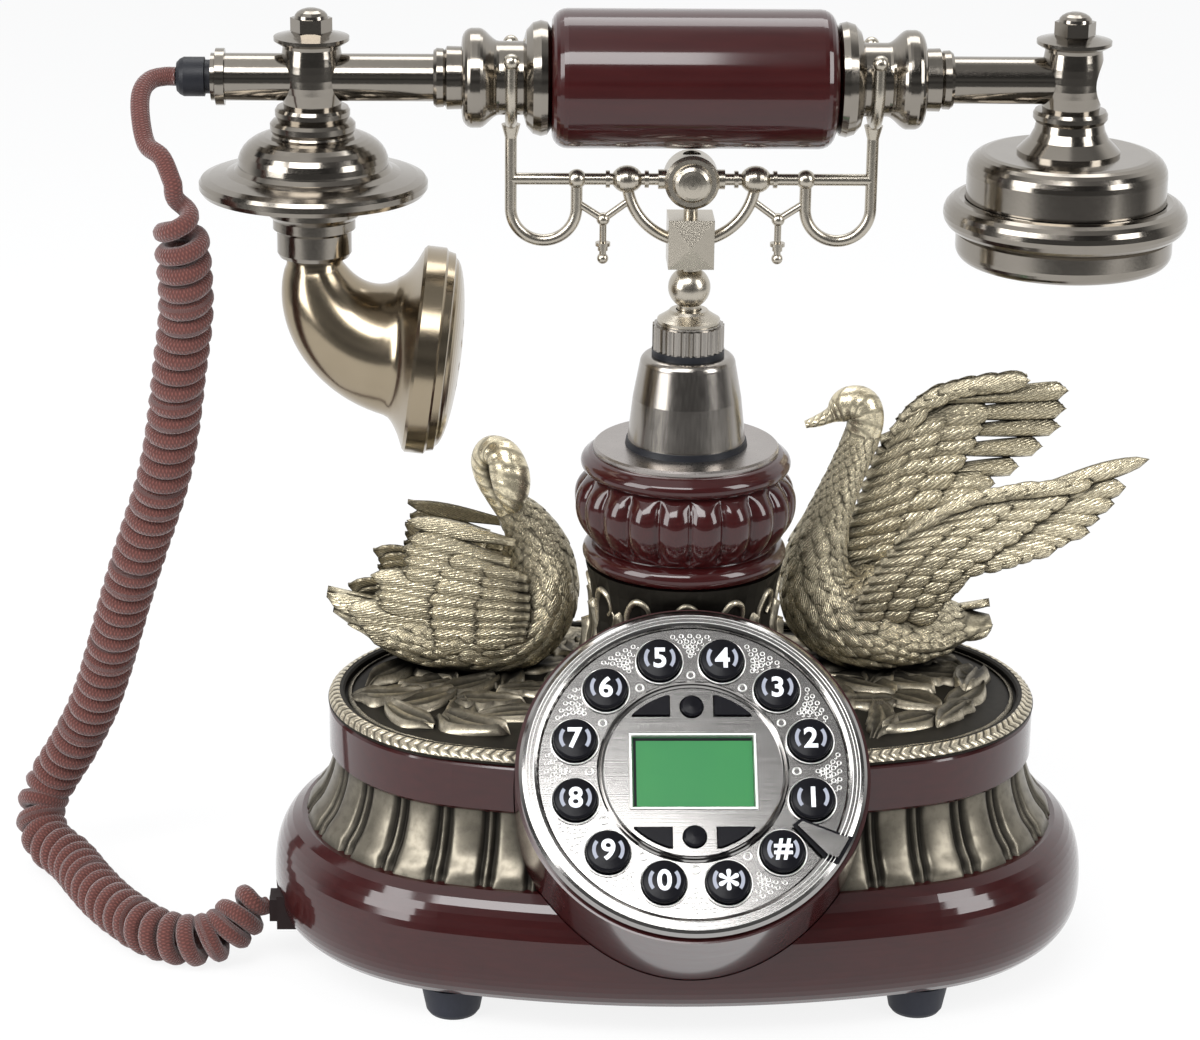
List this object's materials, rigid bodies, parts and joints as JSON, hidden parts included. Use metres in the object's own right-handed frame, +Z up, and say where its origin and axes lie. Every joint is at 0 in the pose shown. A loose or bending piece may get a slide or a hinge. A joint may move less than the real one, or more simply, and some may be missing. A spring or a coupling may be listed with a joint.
{
  "type": "cradle telephone",
  "caption": "Antique-style desk telephone: bar handset with horn mouthpiece on a sprung cradle, oval footed base with two swans, slanted round push-button dial with display.",
  "frame": {"origin": "on the floor under the feet, below the middle of the object's width and depth, cord aside", "axes": "+Z up, -Y towards the user and the dial, +X towards the earpiece end of the handset"},
  "size_m": [0.3096, 0.1551, 0.253],
  "materials": {
    "mahogany": "glossy lacquered mahogany",
    "antique_gold": "antique gold over cast relief",
    "antique_brass": "polished antique brass",
    "horn_brass": "polished olive brass",
    "pale_bronze": "satin pale bronze",
    "brushed_cone": "brushed antique brass",
    "engraved_nickel": "engraved antique nickel",
    "dial_nickel": "circular brushed nickel",
    "key_black": "glossy black keys with white ornate numerals",
    "rubber_black": "black rubber",
    "rubber_feet": "dark blue-grey rubber",
    "dark_plastic": "dark plastic",
    "mat_rubber": "grey silicone contact mat",
    "lcd_green": "green liquid crystal display",
    "lcd_glass": "clear window",
    "cord_braid": "red-brown braided cord"
  },
  "bodies": {
    "base": {"base_shell": "mahogany", "bottom_plate": "dark_plastic", "rubber_feet": "rubber_feet", "fluted_band": "antique_gold", "wood_band": "mahogany", "top_plate": "antique_gold", "left_swan": "antique_gold", "right_swan": "antique_gold", "leaf_neck": "antique_gold", "pedestal_bowl": "mahogany", "engraved_disc": "engraved_nickel", "seal_rings": "rubber_black", "cone": "brushed_cone", "knurled_collar": "brushed_cone", "collar_cap": "pale_bronze", "jack_sockets": "dark_plastic", "dial_housing": "mahogany", "dial_bezel": "dial_nickel", "dial_plate": "dial_nickel", "inner_ring": "dial_nickel", "keypad_mat": "mat_rubber", "lcd_module": "lcd_green", "lcd_window": "lcd_glass", "finger_stop": "dial_nickel", "cord_tail": "cord_braid", "cord_curl": "cord_braid", "cord_plug": "dark_plastic"},
    "cradle": {"hook_block": "pale_bronze", "hook_hub": "pale_bronze", "cradle_left": "pale_bronze", "cradle_right": "pale_bronze"},
    "handset": {"grip": "mahogany", "spindle_left": "antique_brass", "spindle_right": "antique_brass", "mouth_hub": "antique_brass", "mouth_cup": "antique_brass", "horn": "horn_brass", "horn_cap": "horn_brass", "ear_hub": "antique_brass", "ear_bell": "antique_brass", "ear_cap": "antique_brass", "cord_gland": "rubber_black"},
    "key_4_button": {"key_4": "key_black"},
    "key_3_button": {"key_3": "key_black"},
    "key_2_button": {"key_2": "key_black"},
    "key_1_button": {"key_1": "key_black"},
    "key_hash_button": {"key_hash": "key_black"},
    "key_star_button": {"key_star": "key_black"},
    "key_0_button": {"key_0": "key_black"},
    "key_9_button": {"key_9": "key_black"},
    "key_8_button": {"key_8": "key_black"},
    "key_7_button": {"key_7": "key_black"},
    "key_6_button": {"key_6": "key_black"},
    "key_5_button": {"key_5": "key_black"},
    "fn_top_left_button": {"fn_top_left": "key_black"},
    "fn_top_middle_button": {"fn_top_middle": "key_black"},
    "fn_top_right_button": {"fn_top_right": "key_black"},
    "fn_low_left_button": {"fn_low_left": "key_black"},
    "fn_low_middle_button": {"fn_low_middle": "key_black"},
    "fn_low_right_button": {"fn_low_right": "key_black"}
  },
  "joints": [
    {"name": "cradle_rise", "type": "slide", "parent": "base", "child": "cradle", "axis": [0, 0, 1], "range_m": [0, 0.004], "stiffness_N_per_m": 60, "springref_m": 0.03},
    {"name": "handset_lift", "type": "slide", "parent": "cradle", "child": "handset", "axis": [0, 0, 1], "range_m": [0, 0.04]},
    {"name": "key_4_press", "type": "slide", "parent": "base", "child": "key_4_button", "axis": [0, 0.7193, -0.6947], "range_m": [0, 0.0012], "stiffness_N_per_m": 400, "springref_m": -0.001},
    {"name": "key_3_press", "type": "slide", "parent": "base", "child": "key_3_button", "axis": [0, 0.7193, -0.6947], "range_m": [0, 0.0012], "stiffness_N_per_m": 400, "springref_m": -0.001},
    {"name": "key_2_press", "type": "slide", "parent": "base", "child": "key_2_button", "axis": [0, 0.7193, -0.6947], "range_m": [0, 0.0012], "stiffness_N_per_m": 400, "springref_m": -0.001},
    {"name": "key_1_press", "type": "slide", "parent": "base", "child": "key_1_button", "axis": [0, 0.7193, -0.6947], "range_m": [0, 0.0012], "stiffness_N_per_m": 400, "springref_m": -0.001},
    {"name": "key_hash_press", "type": "slide", "parent": "base", "child": "key_hash_button", "axis": [0, 0.7193, -0.6947], "range_m": [0, 0.0012], "stiffness_N_per_m": 400, "springref_m": -0.001},
    {"name": "key_star_press", "type": "slide", "parent": "base", "child": "key_star_button", "axis": [0, 0.7193, -0.6947], "range_m": [0, 0.0012], "stiffness_N_per_m": 400, "springref_m": -0.001},
    {"name": "key_0_press", "type": "slide", "parent": "base", "child": "key_0_button", "axis": [0, 0.7193, -0.6947], "range_m": [0, 0.0012], "stiffness_N_per_m": 400, "springref_m": -0.001},
    {"name": "key_9_press", "type": "slide", "parent": "base", "child": "key_9_button", "axis": [0, 0.7193, -0.6947], "range_m": [0, 0.0012], "stiffness_N_per_m": 400, "springref_m": -0.001},
    {"name": "key_8_press", "type": "slide", "parent": "base", "child": "key_8_button", "axis": [0, 0.7193, -0.6947], "range_m": [0, 0.0012], "stiffness_N_per_m": 400, "springref_m": -0.001},
    {"name": "key_7_press", "type": "slide", "parent": "base", "child": "key_7_button", "axis": [0, 0.7193, -0.6947], "range_m": [0, 0.0012], "stiffness_N_per_m": 400, "springref_m": -0.001},
    {"name": "key_6_press", "type": "slide", "parent": "base", "child": "key_6_button", "axis": [0, 0.7193, -0.6947], "range_m": [0, 0.0012], "stiffness_N_per_m": 400, "springref_m": -0.001},
    {"name": "key_5_press", "type": "slide", "parent": "base", "child": "key_5_button", "axis": [0, 0.7193, -0.6947], "range_m": [0, 0.0012], "stiffness_N_per_m": 400, "springref_m": -0.001},
    {"name": "fn_top_left_press", "type": "slide", "parent": "base", "child": "fn_top_left_button", "axis": [0, 0.7193, -0.6947], "range_m": [0, 0.0012], "stiffness_N_per_m": 400, "springref_m": -0.001},
    {"name": "fn_top_middle_press", "type": "slide", "parent": "base", "child": "fn_top_middle_button", "axis": [0, 0.7193, -0.6947], "range_m": [0, 0.0012], "stiffness_N_per_m": 400, "springref_m": -0.001},
    {"name": "fn_top_right_press", "type": "slide", "parent": "base", "child": "fn_top_right_button", "axis": [0, 0.7193, -0.6947], "range_m": [0, 0.0012], "stiffness_N_per_m": 400, "springref_m": -0.001},
    {"name": "fn_low_left_press", "type": "slide", "parent": "base", "child": "fn_low_left_button", "axis": [0, 0.7193, -0.6947], "range_m": [0, 0.0012], "stiffness_N_per_m": 400, "springref_m": -0.001},
    {"name": "fn_low_middle_press", "type": "slide", "parent": "base", "child": "fn_low_middle_button", "axis": [0, 0.7193, -0.6947], "range_m": [0, 0.0012], "stiffness_N_per_m": 400, "springref_m": -0.001},
    {"name": "fn_low_right_press", "type": "slide", "parent": "base", "child": "fn_low_right_button", "axis": [0, 0.7193, -0.6947], "range_m": [0, 0.0012], "stiffness_N_per_m": 400, "springref_m": -0.001}
  ]
}
